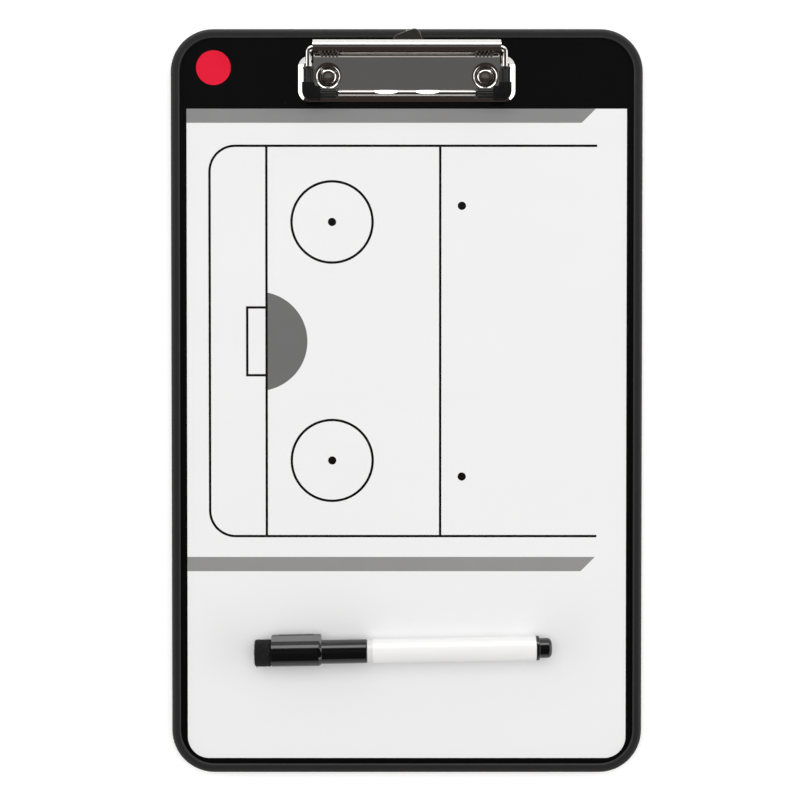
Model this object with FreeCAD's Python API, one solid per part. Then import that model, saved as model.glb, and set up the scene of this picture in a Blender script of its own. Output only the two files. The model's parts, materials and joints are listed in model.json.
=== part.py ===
import FreeCAD, Part
import math
import os
from FreeCAD import Placement, Rotation, Vector

# Tactics board lying face up, in millimetres: X across, Y towards the clip, Z out of the face.
# The origin is under the middle of the board, on the surface that it lies on.

# Board
board_width = 221.0
board_length = 349.0
corner_radius = 17.7
core_thickness = 3.0
laminate = 0.5
trim_wall = 1.2
trim_lip = 1.2
trim_cover = 4.2
trim_round = 1.5
lip_round = 0.45
trim_seam = 0.2
panel_clearance = 0.05

# Clip stamping
clip_setback = 10.15
clip_metal = 0.8
pan_width = 101.3
pan_depth = 21.4
pan_corner = 5.2
pan_flare = 2.8
pan_skirt = 0.7
pan_bend = 1.2
tongue_reach = 2.55
tongue_relief = 0.8
roll_margin = 7.1
roll_wrap = 212.0
roll_clearance = 0.35

# Rivets and the dimples that they sit in
rivet_side_inset = 13.95
rivet_rear_inset = 9.7
rivet_head_radius = 3.55
rivet_head_height = 2.0
rivet_edge = 0.4
rivet_shank_radius = 1.75
rivet_clearance = 0.1
rivet_tail_radius = 3.0
rivet_tail_height = 0.8
rivet_tail_bore = 1.0
rivet_tail_bore_depth = 2.6
dimple_floor_radius = 3.7
dimple_flare = 1.9
dimple_round = 1.8

# Wire bail
wire_diameter = 2.7
bail_reach = 20.85
end_bend = 2.0
corner_bend = 4.3
roll_end_gap = 0.1
butt_gap = 0.3
seat_depth = 13.4
seat_length = 2.6
flat_spacing = 19.2
flat_length = 11.0
flat_depth = 0.45
flat_tilt = 27.0

# Rubber corners on the bail
pad_diameter = 4.9
elbow_diameter = 5.8
pad_arm_leg = 12.1
pad_bar_leg = 13.9
pad_seat_gap = 0.15
pad_end_edge = 0.5
groove_count = 12
groove_width = 0.6
groove_depth = 0.5
groove_arm_length = 6.4
groove_bar_length = 7.4

# Torsion springs inside the roll
spring_wire = 1.3
spring_turns = 5
spring_pitch = 1.75
spring_clearance = 0.15
spring_leg_angle = 285.0
spring_sides = 6

# Hanging eyelet that pulls out from under the clip, lying askew on its stud
hanger_width = 13.2
hanger_skew = 20.0
hanger_shift = -0.92
hanger_set_back = 1.45
hanger_metal = 0.5
hanger_clearance = 0.05
hanger_edge = 0.3
hanger_corner = 3.0
hanger_hole_radius = 3.0
hanger_hole_rim = 4.0
hanger_web = 1.75
hanger_travel = 13.0
stud_radius = 1.6
stud_clearance = 0.15
stud_head_radius = 2.8
stud_head_height = 0.9
stud_edge = 0.3

# Marker pen
marker_rise = 58.7
marker_shift = -1.66
marker_yaw = 0.96
marker_gap = 0.1
joint_gap = 0.03
felt_length = 7.65
felt_stub_radius = 4.9
felt_stub_length = 6.0
felt_edge = 1.0
cap_wide_radius = 6.43
cap_wide_length = 22.35
cap_shoulder = 1.35
cap_narrow_radius = 5.54
cap_narrow_length = 21.15
cap_bore_depth = 35.0
cap_clearance = 0.12
cap_edge = 0.4
fin_start = 0.3
fin_length = 23.2
fin_root = 3.0
fin_reach = 8.3
fin_edge = 2.6
fin_slope = 32.0
fin_round = 0.6
magnet_length = 16.0
magnet_width = 1.7
magnet_thickness = 1.5
magnet_recess = 0.15
notch_length = 1.9
notch_width = 4.4
notch_offset = 0.7
collar_radius = 5.14
collar_length = 2.5
section_radius = 4.6
section_length = 11.0
cone_length = 8.0
cone_tip_radius = 2.9
collar_spigot = 8.0
nib_radius = 2.0
nib_round = 1.8
nib_show = 7.0
barrel_radius = 5.59
barrel_length = 76.1
barrel_wall = 1.1
barrel_edge = 0.3
flange_radius = 5.74
flange_length = 1.6
plug_radius = 4.65
plug_length = 5.75
plug_round = 2.0
plug_spigot = 8.0
reservoir_clearance = 0.3
reservoir_bite = 5.0

# Angle that points straight down, seen along the hinge, and the slack for finding edges
downwards = 270.0
tolerance = 1e-4

# Board heights
back_z = trim_lip
core_z = back_z + laminate
front_z = core_z + core_thickness
face_z = front_z + laminate
trim_top = face_z + trim_lip
panel_inset = trim_wall + panel_clearance

# Clip heights and stations
hanger_z = trim_top + hanger_clearance
plate_bottom = hanger_z + hanger_metal + hanger_clearance
plate_top = plate_bottom + clip_metal
wire_radius = wire_diameter / 2
coil_radius = wire_radius + spring_clearance + spring_wire / 2
roll_inner = coil_radius + spring_wire / 2 + roll_clearance
roll_radius = roll_inner + clip_metal
roll_y = board_length / 2 - clip_setback
roll_z = plate_bottom + roll_radius
pan_rear = roll_y - tongue_reach
pan_front = pan_rear - pan_depth
rivet_x = pan_width / 2 - rivet_side_inset
rivet_y = pan_rear - rivet_rear_inset
dimple_floor = face_z + clip_metal
skirt_top = face_z + pan_skirt
flange_angle = math.atan2(plate_top - skirt_top, pan_flare)
rivet_hole = rivet_shank_radius + rivet_clearance

# Bail stations, in a frame on the hinge axis
roll_end = pan_width / 2 - roll_margin
arm_x = roll_end + roll_end_gap + end_bend
seat_x = roll_end - seat_depth
pad_radius = pad_diameter / 2
elbow_radius = elbow_diameter / 2
bail_drop = roll_z - plate_top - pad_seat_gap - elbow_radius
bail_angle = math.degrees(math.asin(bail_drop / bail_reach))

# Eyelet stations, from the middle of its outer end inwards
hole_y = -hanger_hole_rim - hanger_hole_radius
slot_radius = stud_radius + stud_clearance
stud_y = hole_y - hanger_hole_radius - hanger_web - slot_radius
slot_end = stud_y - hanger_travel
hanger_front = slot_end - slot_radius - hanger_web

# Marker stations along its axis, from the felt's end
cap_start = felt_length
shoulder_start = cap_start + cap_wide_length
narrow_start = shoulder_start + cap_shoulder
cap_mouth = narrow_start + cap_narrow_length
barrel_start = cap_mouth + collar_length
flange_start = barrel_start + barrel_length
plug_start = flange_start + flange_length
marker_end = plug_start + plug_length
barrel_bore = barrel_radius - barrel_wall
cone_start = cap_mouth - section_length
cone_end = cone_start - cone_length
nib_tip = cone_end - nib_show
collar_tail = barrel_start + collar_spigot
nib_tail = collar_tail + reservoir_bite
plug_tail = flange_start - plug_spigot


def box(x, y, z):
    """Box between (low, high) pairs."""
    size = [high - low for low, high in (x, y, z)]
    return Part.makeBox(*size, Vector(x[0], y[0], z[0]))


def rounded_edges(corners, closed):
    """Straight runs through (point, radius) corners, joined by tangent arcs."""
    stops = []
    for i, (point, radius) in enumerate(corners):
        if radius == 0:
            stops.append((point, None, point))
            continue
        before = (corners[i - 1][0] - point).normalize()
        after = (corners[(i + 1) % len(corners)][0] - point).normalize()
        half = before.getAngle(after) / 2
        reach = radius / math.tan(half)
        bisector = (before + after).normalize()
        middle = point + bisector * (radius / math.sin(half) - radius)
        stops.append((point + before * reach, middle, point + after * reach))
    edges = []
    for i, (start, middle, end) in enumerate(stops):
        if middle:
            edges.append(Part.Arc(start, middle, end).toShape())
        if closed or i + 1 < len(stops):
            edges.append(Part.makeLine(end, stops[(i + 1) % len(stops)][0]))
    return edges


def outline(corners):
    """Flat face inside (point, radius) corners."""
    return Part.Face(Part.Wire(rounded_edges(corners, True)))


def rounded_plate(x, y, z, radius):
    """Flat plate between (low, high) pairs, with round corners in plan."""
    corners = [(x[0], y[0]), (x[1], y[0]), (x[1], y[1]), (x[0], y[1])]
    face = outline([(Vector(a, b, z[0]), radius) for a, b in corners])
    return face.extrude(Vector(0, 0, z[1] - z[0]))


def turned(profile):
    """Solid turned about the X axis from (station, radius, rounding) corners."""
    face = outline([(Vector(s, r, 0), rounding) for s, r, rounding in profile])
    return face.revolve(Vector(0, 0, 0), Vector(1, 0, 0), 360)


def carried(section, path):
    """Solid that a flat section leaves as it is carried along tangent lines and arcs."""
    runs = []
    for edge in path:
        curve = edge.Curve
        first, last = edge.ParameterRange
        if curve.TypeId == "Part::GeomCircle":
            turn = math.degrees(last - first)
            runs.append(section.revolve(curve.Center, curve.Axis, turn))
            section = section.rotated(curve.Center, curve.Axis, turn)
        else:
            step = edge.valueAt(last) - edge.valueAt(first)
            runs.append(section.extrude(step))
            section = section.translated(step)
    return runs[0].fuse(runs[1:])


def rod(path, radius):
    """Round rod along a path of tangent lines and arcs."""
    first = path[0].FirstParameter
    circle = Part.makeCircle(radius, path[0].valueAt(first), path[0].tangentAt(first))
    return carried(Part.Face(Part.Wire(circle)), path)


def mirrored(shape):
    """The same piece on the other side of the board's centre line."""
    return shape.mirror(Vector(0, 0, 0), Vector(1, 0, 0))


def edges_at(shape, z):
    """Edges that lie in the level plane at z."""
    return [
        edge for edge in shape.Edges
        if max(abs(edge.BoundBox.ZMin - z), abs(edge.BoundBox.ZMax - z)) < tolerance
    ]


def on_rivets(make):
    """What make gives for the left and right rivet's place."""
    return [make(Vector(side * rivet_x, rivet_y, 0)) for side in (-1, 1)]


def panel(bottom, thickness):
    """One layer of the board, with the rivets' holes."""
    half_width = board_width / 2 - panel_inset
    half_length = board_length / 2 - panel_inset
    plate = rounded_plate(
        (-half_width, half_width),
        (-half_length, half_length),
        (bottom, bottom + thickness),
        corner_radius - panel_inset,
    )
    return plate.cut(on_rivets(lambda at: Part.makeCylinder(
        rivet_hole, thickness, at + Vector(0, 0, bottom))))


def edge_trim():
    """Soft U channel swept round the board, its butt joint behind the eyelet."""
    half_width = board_width / 2
    half_length = board_length / 2
    seam = trim_seam / 2
    path = rounded_edges([
        (Vector(seam, half_length, 0), 0),
        (Vector(half_width, half_length, 0), corner_radius),
        (Vector(half_width, -half_length, 0), corner_radius),
        (Vector(-half_width, -half_length, 0), corner_radius),
        (Vector(-half_width, half_length, 0), corner_radius),
        (Vector(-seam, half_length, 0), 0),
    ], False)
    profile = [
        (0, 0, trim_round),
        (0, trim_top, trim_round),
        (trim_cover, trim_top, lip_round),
        (trim_cover, face_z, 0),
        (trim_wall, face_z, 0),
        (trim_wall, back_z, 0),
        (trim_cover, back_z, 0),
        (trim_cover, 0, lip_round),
    ]
    section = outline([(Vector(seam, half_length - inward, up), r) for inward, up, r in profile])
    return carried(section, path)


def dimple(at):
    """Conical seat with a round brim, drawn down to the face round a rivet."""
    depth = plate_top - dimple_floor
    slope = dimple_flare / depth
    wall = clip_metal * math.hypot(1, slope)
    brim = dimple_floor_radius + dimple_flare
    profile = [
        (rivet_hole, face_z, 0),
        (dimple_floor_radius - clip_metal * slope + wall, face_z, 0),
        (brim - clip_metal * slope + wall, plate_bottom, 0),
        (brim + wall, plate_bottom, 0),
        (brim + wall, plate_top, 0),
        (brim, plate_top, dimple_round),
        (dimple_floor_radius, dimple_floor, 0),
        (rivet_hole, dimple_floor, 0),
    ]
    face = outline([(at + Vector(r, 0, z), rounding) for r, z, rounding in profile])
    clearing = Part.makeCylinder(brim + wall, clip_metal, at + Vector(0, 0, plate_bottom))
    return clearing, face.revolve(at, Vector(0, 0, 1), 360)


def pan_block(inset, skirt_z, flare, top):
    """Solid inside the clip's turned-down edge: an upright skirt under a sloping flange."""

    def level(inwards, z):
        x = pan_width / 2 - inwards
        y = (pan_front + inwards, pan_rear - inwards)
        corners = [(-x, y[0]), (x, y[0]), (x, y[1]), (-x, y[1])]
        return Part.Wire(rounded_edges(
            [(Vector(a, b, z), pan_corner - inwards) for a, b in corners], True))

    skirt = Part.Face(level(inset, face_z)).extrude(Vector(0, 0, skirt_z - face_z))
    flange = Part.makeLoft([level(inset, skirt_z), level(inset + flare, top)], True, True)
    return skirt.fuse(flange)


def clip_base():
    """Stamped clip plate: turned-down edges, rivet dimples and rolled knuckle."""
    outer = pan_block(0, skirt_top, pan_flare, plate_top)
    outer = outer.makeFillet(pan_bend, edges_at(outer, plate_top))
    inner = pan_block(
        clip_metal,
        skirt_top - clip_metal * math.tan(math.pi / 4 - flange_angle / 2),
        pan_flare - clip_metal * (1 - math.tan(flange_angle / 2)),
        plate_bottom,
    )
    relief = roll_end + tongue_relief
    rear_strip = (pan_rear - pan_flare - pan_bend, pan_rear)
    pan = outer.cut([inner, box((-relief, relief), rear_strip, (face_z, plate_top))])
    tongue = box((-roll_end, roll_end), (rear_strip[0], roll_y), (plate_bottom, plate_top))

    def on_roll(radius, angle):
        turn = math.radians(angle)
        return Vector(-roll_end, roll_y + radius * math.cos(turn), roll_z + radius * math.sin(turn))

    first, last = downwards, downwards + roll_wrap
    middle = (first + last) / 2
    curl = Part.Face(Part.Wire([
        Part.Arc(*[on_roll(roll_radius, a) for a in (first, middle, last)]).toShape(),
        Part.makeLine(on_roll(roll_radius, last), on_roll(roll_inner, last)),
        Part.Arc(*[on_roll(roll_inner, a) for a in (last, middle, first)]).toShape(),
        Part.makeLine(on_roll(roll_inner, first), on_roll(roll_radius, first)),
    ])).extrude(Vector(2 * roll_end, 0, 0))

    dimples = on_rivets(dimple)
    plate = pan.fuse([tongue, curl]).cut([clearing for clearing, _ in dimples])
    return plate.fuse([seat for _, seat in dimples]).removeSplitter()


def rivet(at):
    """Domed semi-tubular rivet, its tail rolled out against the back."""
    tail_z = back_z - rivet_tail_height
    dome = (rivet_head_height - rivet_edge, rivet_head_radius)
    dome_radius = (dome[0] ** 2 + dome[1] ** 2) / (2 * dome[0])
    crown = dimple_floor + rivet_head_height
    half_turn = math.asin(dome[1] / dome_radius) / 2
    dome_middle = at + Vector(
        dome_radius * math.sin(half_turn), 0, crown - dome_radius * (1 - math.cos(half_turn)))
    rim = at + Vector(rivet_head_radius, 0, dimple_floor + rivet_edge)
    top = at + Vector(0, 0, crown)
    corners = [
        (0, tail_z + rivet_tail_bore_depth),
        (rivet_tail_bore, tail_z + rivet_tail_bore_depth),
        (rivet_tail_bore, back_z),
        (rivet_shank_radius, tail_z),
        (rivet_tail_radius, tail_z),
        (rivet_tail_radius, back_z),
        (rivet_shank_radius, back_z),
        (rivet_shank_radius, dimple_floor),
        (rivet_head_radius, dimple_floor),
    ]
    points = [top] + [at + Vector(r, 0, z) for r, z in corners] + [rim]
    edges = [Part.makeLine(a, b) for a, b in zip(points, points[1:])]
    edges.append(Part.Arc(rim, dome_middle, top).toShape())
    return Part.Face(Part.Wire(edges)).revolve(at, Vector(0, 0, 1), 360)


def on_bail(shape):
    """Carries a piece from the flat bail frame to its rest on the clip plate."""
    shape.Placement = Placement(
        Vector(0, roll_y, roll_z), Rotation(Vector(1, 0, 0), bail_angle)).multiply(shape.Placement)
    return shape


def bail_wire():
    """Wire bail: its ends butt inside the roll, and its front bar has two coined flats."""
    path = rounded_edges([
        (Vector(-butt_gap / 2, 0, 0), 0),
        (Vector(-arm_x, 0, 0), end_bend),
        (Vector(-arm_x, -bail_reach, 0), corner_bend),
        (Vector(arm_x, -bail_reach, 0), corner_bend),
        (Vector(arm_x, 0, 0), end_bend),
        (Vector(butt_gap / 2, 0, 0), 0),
    ], False)
    wire = rod(path, wire_radius)
    scoop_radius = ((flat_length / 2) ** 2 + flat_depth ** 2) / (2 * flat_depth)
    slot = box(
        (seat_x, seat_x + seat_length),
        (-wire_radius, wire_radius),
        (-spring_wire / 2 - joint_gap, spring_wire / 2 + joint_gap),
    )
    slot.rotate(Vector(0, 0, 0), Vector(1, 0, 0), spring_leg_angle - bail_angle)
    cuts = [slot, mirrored(slot)]
    for side in (-1, 1):
        centre = Vector(
            side * flat_spacing / 2,
            -bail_reach - wire_radius,
            wire_radius - flat_depth + scoop_radius,
        )
        scoop = Part.makeCylinder(scoop_radius, wire_diameter, centre, Vector(0, 1, 0))
        scoop.rotate(Vector(0, -bail_reach, 0), Vector(1, 0, 0), -flat_tilt - bail_angle)
        cuts.append(scoop)
    return on_bail(wire.cut(cuts))


def bail_corner():
    """Right rubber corner: a stout elbow on the bail, with a ribbed sleeve along each leg."""
    leg_end = Vector(arm_x, pad_arm_leg - bail_reach, 0)
    elbow = Vector(arm_x, -bail_reach, 0)
    bar_end = Vector(arm_x - pad_bar_leg, -bail_reach, 0)
    path = rounded_edges([(leg_end, 0), (elbow, corner_bend), (bar_end, 0)], False)
    sleeve = rod(path, pad_radius)
    rims = [
        edge for edge in sleeve.Edges for end in (leg_end, bar_end)
        if edge.Closed and edge.CenterOfMass.isEqual(end, tolerance)
    ]
    sleeve = sleeve.makeChamfer(pad_end_edge, rims)
    bend = rod(rounded_edges([
        (leg_end - Vector(0, groove_arm_length, 0), 0),
        (elbow, corner_bend),
        (bar_end + Vector(groove_bar_length, 0, 0), 0),
    ], False), elbow_radius)
    grooves = []
    for end, inward, length in (
        (leg_end, Vector(0, -1, 0), groove_arm_length),
        (bar_end, Vector(1, 0, 0), groove_bar_length),
    ):
        across = Vector(0, 0, 1).cross(inward)
        for step in range(groove_count):
            groove = Part.makeBox(
                length, groove_width, 2 * groove_depth,
                Vector(0, -groove_width / 2, pad_radius - groove_depth))
            frame = Rotation(inward, across, Vector(0, 0, 1), "ZXY")
            turn = Rotation(inward, (step + 0.5) * 360 / groove_count)
            groove.Placement = Placement(end, turn.multiply(frame)).multiply(groove.Placement)
            grooves.append(groove)
    bore = rod(path, wire_radius + joint_gap)
    return on_bail(sleeve.cut(grooves).fuse(bend).cut(bore))


def torsion_spring():
    """Left spring: a coil on the wire, one leg through the wire's slot, the other on the plate."""
    length = spring_turns * spring_pitch
    helix = Part.makeHelix(spring_pitch, length, coil_radius)
    wire_half = spring_wire / 2
    corner_turn = 2 * math.pi / spring_sides
    section = Part.makePolygon([
        Vector(
            coil_radius + wire_half * math.cos((i + 0.5) * corner_turn),
            0,
            wire_half * math.sin((i + 0.5) * corner_turn),
        )
        for i in range(spring_sides + 1)
    ])
    coil = Part.Wire(helix).makePipeShell([section], True, True)
    inner_leg = Part.makeCylinder(
        wire_half, coil_radius + wire_radius, Vector(coil_radius, 0, 0), Vector(-1, 0, 0))
    brace = math.radians(spring_leg_angle - downwards)
    rise = roll_inner - coil_radius * math.cos(brace) - wire_half
    coil_end = Part.Face(section).translated(Vector(0, 0, length))
    outer_leg = coil_end.extrude(Vector(0, rise / math.sin(brace), 0))
    spring = coil.fuse([inner_leg, outer_leg]).removeSplitter()
    spring.rotate(Vector(0, 0, 0), Vector(0, 0, 1), -spring_leg_angle)
    inner_end = Vector(-seat_x - seat_length + wire_half + joint_gap, roll_y, roll_z)
    axes = Rotation(Vector(0, 1, 0), Vector(0, 0, -1), Vector(-1, 0, 0), "ZXY")
    spring.Placement = Placement(inner_end, axes).multiply(spring.Placement)
    return spring


def on_eyelet(shape):
    """Carries a piece from the eyelet's own frame to its place under the clip."""
    end = Vector(hanger_shift, board_length / 2 - hanger_set_back, 0)
    shape.Placement = Placement(end, Rotation(Vector(0, 0, 1), hanger_skew)).multiply(shape.Placement)
    return shape


def hanger_tab():
    """Flat eyelet: hanging hole at the outer end, and a slot for the stud that stops it."""
    half = hanger_width / 2
    top = hanger_z + hanger_metal
    plate = rounded_plate((-half, half), (hanger_front, 0), (hanger_z, top), hanger_corner)
    plate = plate.makeChamfer(hanger_edge, edges_at(plate, top))
    holes = [
        Part.makeCylinder(radius, hanger_metal, Vector(0, y, hanger_z))
        for y, radius in ((hole_y, hanger_hole_radius), (stud_y, slot_radius), (slot_end, slot_radius))
    ]
    slot = box((-slot_radius, slot_radius), (slot_end, stud_y), (hanger_z, top))
    return on_eyelet(plate.cut(holes + [slot]))


def hanger_stud():
    """Headed stud under the clip plate, in the eyelet's slot."""
    head_top = hanger_z - hanger_clearance
    head = Part.makeCylinder(
        stud_head_radius, stud_head_height, Vector(0, stud_y, head_top - stud_head_height))
    head = head.makeChamfer(stud_edge, edges_at(head, head_top - stud_head_height))
    shank = Part.makeCylinder(stud_radius, plate_bottom - head_top, Vector(0, stud_y, head_top))
    return on_eyelet(head.fuse(shank))


def marker_barrel():
    """White barrel tube."""
    return turned([
        (barrel_start, barrel_bore, 0),
        (barrel_start, barrel_radius - barrel_edge, 0),
        (barrel_start + barrel_edge, barrel_radius, 0),
        (flange_start, barrel_radius, 0),
        (flange_start, barrel_bore, 0),
    ])


def marker_collar():
    """Nib holder: spigot in the barrel, shoulder ring, section and cone under the cap."""
    nib_bore = nib_radius + joint_gap
    return turned([
        (cone_end, nib_bore, 0),
        (cone_end, cone_tip_radius, 0),
        (cone_start, section_radius, 0),
        (cap_mouth, section_radius, 0),
        (cap_mouth, collar_radius, 0),
        (barrel_start, collar_radius, 0),
        (barrel_start, barrel_bore - joint_gap, 0),
        (collar_tail, barrel_bore - joint_gap, 0),
        (collar_tail, nib_bore, 0),
    ])


def marker_nib():
    """Bullet nib on a fibre stem that reaches into the ink."""
    return turned([
        (nib_tip, 0, 0),
        (nib_tip, nib_radius, nib_round),
        (nib_tail, nib_radius, 0),
        (nib_tail, 0, 0),
    ])


def ink_reservoir():
    """Ink-soaked fibre rod in the barrel, bored for the nib's stem."""
    radius = barrel_bore - reservoir_clearance
    bored = nib_tail + joint_gap
    return turned([
        (collar_tail, nib_radius + joint_gap, 0),
        (collar_tail, radius, 0),
        (plug_tail, radius, 0),
        (plug_tail, 0, 0),
        (bored, 0, 0),
        (bored, nib_radius + joint_gap, 0),
    ])


def marker_plug():
    """Flanged end plug pressed into the barrel."""
    return turned([
        (plug_tail, 0, 0),
        (plug_tail, barrel_bore - joint_gap, 0),
        (flange_start, barrel_bore - joint_gap, 0),
        (flange_start, flange_radius, 0),
        (plug_start - barrel_edge, flange_radius, 0),
        (plug_start, flange_radius - barrel_edge, 0),
        (plug_start, plug_radius, 0),
        (marker_end, plug_radius, plug_round),
        (marker_end, 0, 0),
    ])


def magnet_block(gap):
    """Bar magnet's block, or its pocket when gap is more than nothing."""
    middle = cap_start + fin_start + fin_length / 2
    half_length = magnet_length / 2 + gap
    half_width = magnet_width / 2 + gap
    outer = fin_reach - magnet_recess
    return box(
        (middle - half_length, middle + half_length),
        (outer - magnet_thickness - gap, outer + (magnet_recess if gap else 0)),
        (-half_width, half_width),
    )


def marker_cap():
    """Cap: wide eraser end with a tapered magnet fin, stepped to the narrow mouth."""
    shell = turned([
        (cap_start, 0, 0),
        (cap_start, cap_wide_radius - cap_edge, 0),
        (cap_start + cap_edge, cap_wide_radius, 0),
        (shoulder_start, cap_wide_radius, 0),
        (narrow_start, cap_narrow_radius, 0),
        (cap_mouth - cap_edge, cap_narrow_radius, 0),
        (cap_mouth, cap_narrow_radius - cap_edge, 0),
        (cap_mouth, 0, 0),
    ])
    left = cap_start + fin_start
    root = fin_edge / 2 + (fin_reach - fin_root) * math.tan(math.radians(fin_slope))
    fin = outline([
        (Vector(left, fin_root, -root), 0),
        (Vector(left, fin_reach, -fin_edge / 2), fin_round),
        (Vector(left, fin_reach, fin_edge / 2), fin_round),
        (Vector(left, fin_root, root), 0),
    ]).extrude(Vector(fin_length, 0, 0))
    plan = outline([
        (Vector(left, 0, -cap_wide_radius), 0),
        (Vector(left + fin_length, 0, -cap_wide_radius), 0),
        (Vector(left + fin_length, fin_reach, -cap_wide_radius), fin_round),
        (Vector(left, fin_reach, -cap_wide_radius), fin_round),
    ]).extrude(Vector(0, 0, 2 * cap_wide_radius))
    bore = Part.makeCylinder(
        section_radius + cap_clearance, cap_bore_depth,
        Vector(cap_mouth, 0, 0), Vector(-1, 0, 0))
    socket = Part.makeCylinder(
        felt_stub_radius + joint_gap, felt_stub_length,
        Vector(cap_start, 0, 0), Vector(1, 0, 0))
    notch = box(
        (narrow_start - notch_length, narrow_start),
        (notch_offset - notch_width / 2, notch_offset + notch_width / 2),
        (cap_narrow_radius, cap_wide_radius),
    )
    cap = shell.fuse(fin.common(plan))
    return cap.cut([bore, socket, notch, magnet_block(joint_gap)])


def eraser_felt():
    """Felt eraser: a thick pad with a stub in the cap's end."""
    return turned([
        (0, 0, 0),
        (0, cap_wide_radius, felt_edge),
        (cap_start, cap_wide_radius, 0),
        (cap_start, felt_stub_radius, 0),
        (cap_start + felt_stub_length, felt_stub_radius, 0),
        (cap_start + felt_stub_length, 0, 0),
    ])


def on_board(shape):
    """Lays a marker piece on the face, resting on the cap's wide end and the plug's flange."""
    pitch = math.atan2(cap_wide_radius - flange_radius, plug_start - shoulder_start)
    turn = Rotation(Vector(0, 0, 1), marker_yaw).multiply(
        Rotation(Vector(0, 1, 0), math.degrees(pitch)))
    middle = turn.multVec(Vector(marker_end / 2, 0, 0))
    rest = turn.multVec(Vector(shoulder_start, 0, 0))
    place = Vector(
        marker_shift - middle.x,
        marker_rise - board_length / 2 - middle.y,
        face_z + marker_gap + cap_wide_radius * math.cos(pitch) - rest.z,
    )
    shape.Placement = Placement(place, turn).multiply(shape.Placement)
    return shape


left_spring = torsion_spring()
right_corner = bail_corner()
rivets = on_rivets(rivet)

pieces = {
    "core_panel": panel(core_z, core_thickness),
    "front_sheet": panel(front_z, laminate),
    "back_sheet": panel(back_z, laminate),
    "edge_trim": edge_trim(),
    "clip_base": clip_base(),
    "rivet_left": rivets[0],
    "rivet_right": rivets[1],
    "bail_wire": bail_wire(),
    "bail_corner_left": mirrored(right_corner),
    "bail_corner_right": right_corner,
    "torsion_spring_left": left_spring,
    "torsion_spring_right": mirrored(left_spring),
    "hanger_tab": hanger_tab(),
    "hanger_stud": hanger_stud(),
    "marker_barrel": on_board(marker_barrel()),
    "marker_collar": on_board(marker_collar()),
    "marker_nib": on_board(marker_nib()),
    "ink_reservoir": on_board(ink_reservoir()),
    "marker_plug": on_board(marker_plug()),
    "marker_cap": on_board(marker_cap()),
    "cap_magnet": on_board(magnet_block(0)),
    "eraser_felt": on_board(eraser_felt()),
}

os.makedirs("parts", exist_ok=True)
for name, shape in pieces.items():
    shape.exportStep(f"parts/{name}.step")
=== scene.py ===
"""Dresses the tactics board: print, edge trim, plated clip, dry-erase marker and a plain stage."""

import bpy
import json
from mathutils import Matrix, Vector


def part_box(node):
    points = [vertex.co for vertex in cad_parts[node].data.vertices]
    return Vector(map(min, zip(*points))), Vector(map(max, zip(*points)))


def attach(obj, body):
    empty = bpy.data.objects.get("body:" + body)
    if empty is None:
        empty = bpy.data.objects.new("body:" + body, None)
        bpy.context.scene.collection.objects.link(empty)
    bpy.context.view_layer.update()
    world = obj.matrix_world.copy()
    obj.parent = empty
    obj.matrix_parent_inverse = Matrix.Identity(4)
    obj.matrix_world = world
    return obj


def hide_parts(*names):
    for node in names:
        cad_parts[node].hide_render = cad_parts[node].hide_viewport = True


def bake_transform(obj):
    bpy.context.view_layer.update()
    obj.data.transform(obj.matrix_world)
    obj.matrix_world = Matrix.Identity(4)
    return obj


bl_info = {
    "name": "Tactics board",
    "version": (1, 0, 0),
    "blender": (4, 5, 0),
    "location": "3D View > Sidebar > Tactics board",
    "description": "Prints and finishes a tactics board and sets it on a plain stage",
    "category": "Object",
}

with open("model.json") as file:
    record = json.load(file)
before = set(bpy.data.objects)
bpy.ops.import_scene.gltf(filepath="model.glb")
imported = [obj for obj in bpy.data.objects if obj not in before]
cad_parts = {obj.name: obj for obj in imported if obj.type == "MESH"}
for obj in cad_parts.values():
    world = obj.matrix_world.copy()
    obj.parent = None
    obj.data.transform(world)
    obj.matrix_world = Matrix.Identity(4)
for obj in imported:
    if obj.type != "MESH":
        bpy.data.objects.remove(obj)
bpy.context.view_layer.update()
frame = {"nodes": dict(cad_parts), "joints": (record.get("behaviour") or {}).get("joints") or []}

import contextlib
import json
import math
import random

import bmesh
import bpy
from bpy.props import FloatProperty, FloatVectorProperty, IntProperty, PointerProperty
from mathutils import Matrix, Vector

MM = 0.001
NODES = frame["nodes"]
FACE_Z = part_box("front_sheet")[1].z
SIDES = (("right", 1), ("left", -1))

# Facets of round corners, discs, turned pieces, domes, bends and a rib with its groove
CORNER_STEPS = 16
CIRCLE_STEPS = 128
TURN_STEPS = 64
DOME_STEPS = 16
BEND_STEPS = 12
RIB_FACETS = 4

# A rivet's dome: more of the first flattens its middle, less of the second steepens its rim
DOME_FLATNESS = 3
DOME_ROUNDNESS = 0.6

# Points nearer than WELD are one, and cutters run PAST what they cut
WELD = MM / 1000
PAST = 1 * MM

# A face looks along an axis if its normal has at least this much of it
FACING = 0.9

# The felt's loose fibres: the steps of one as (lean, rise, taper) in shares of its length,
# their seed, the spread of their lean, and how far up and out their roots must face
FIBRE_STEPS = ((0.05, 0.35, 0.8), (0.15, 0.35, 0.7), (0.25, 0.3, 0.4))
FIBRE_SEED = 11
FIBRE_SPREAD = 0.9
FIBRE_UP = -0.1
FIBRE_OUT = -0.5

# The stage, in metres: how far the lamps stand, the floor's side, and where its glow turns white
LAMP_DISTANCE = 2.4
FLOOR_SIDE = 30.0
GLOW_START, GLOW_END = 0.3, 2.0

# The floor's glow round the board
GLOW = 0.28


def length(name, description, millimetres):
    """A size property, given in millimetres and kept in metres."""
    return FloatProperty(
        name=name, description=description, default=millimetres * MM, unit="LENGTH", precision=5)


def colour(name, description, *rgb):
    """A linear colour property."""
    return FloatVectorProperty(
        name=name, description=description, default=rgb, subtype="COLOR", size=3)


def power(name, description, watts):
    """A lamp's power property."""
    return FloatProperty(name=name, description=description, default=watts, unit="POWER")


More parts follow.
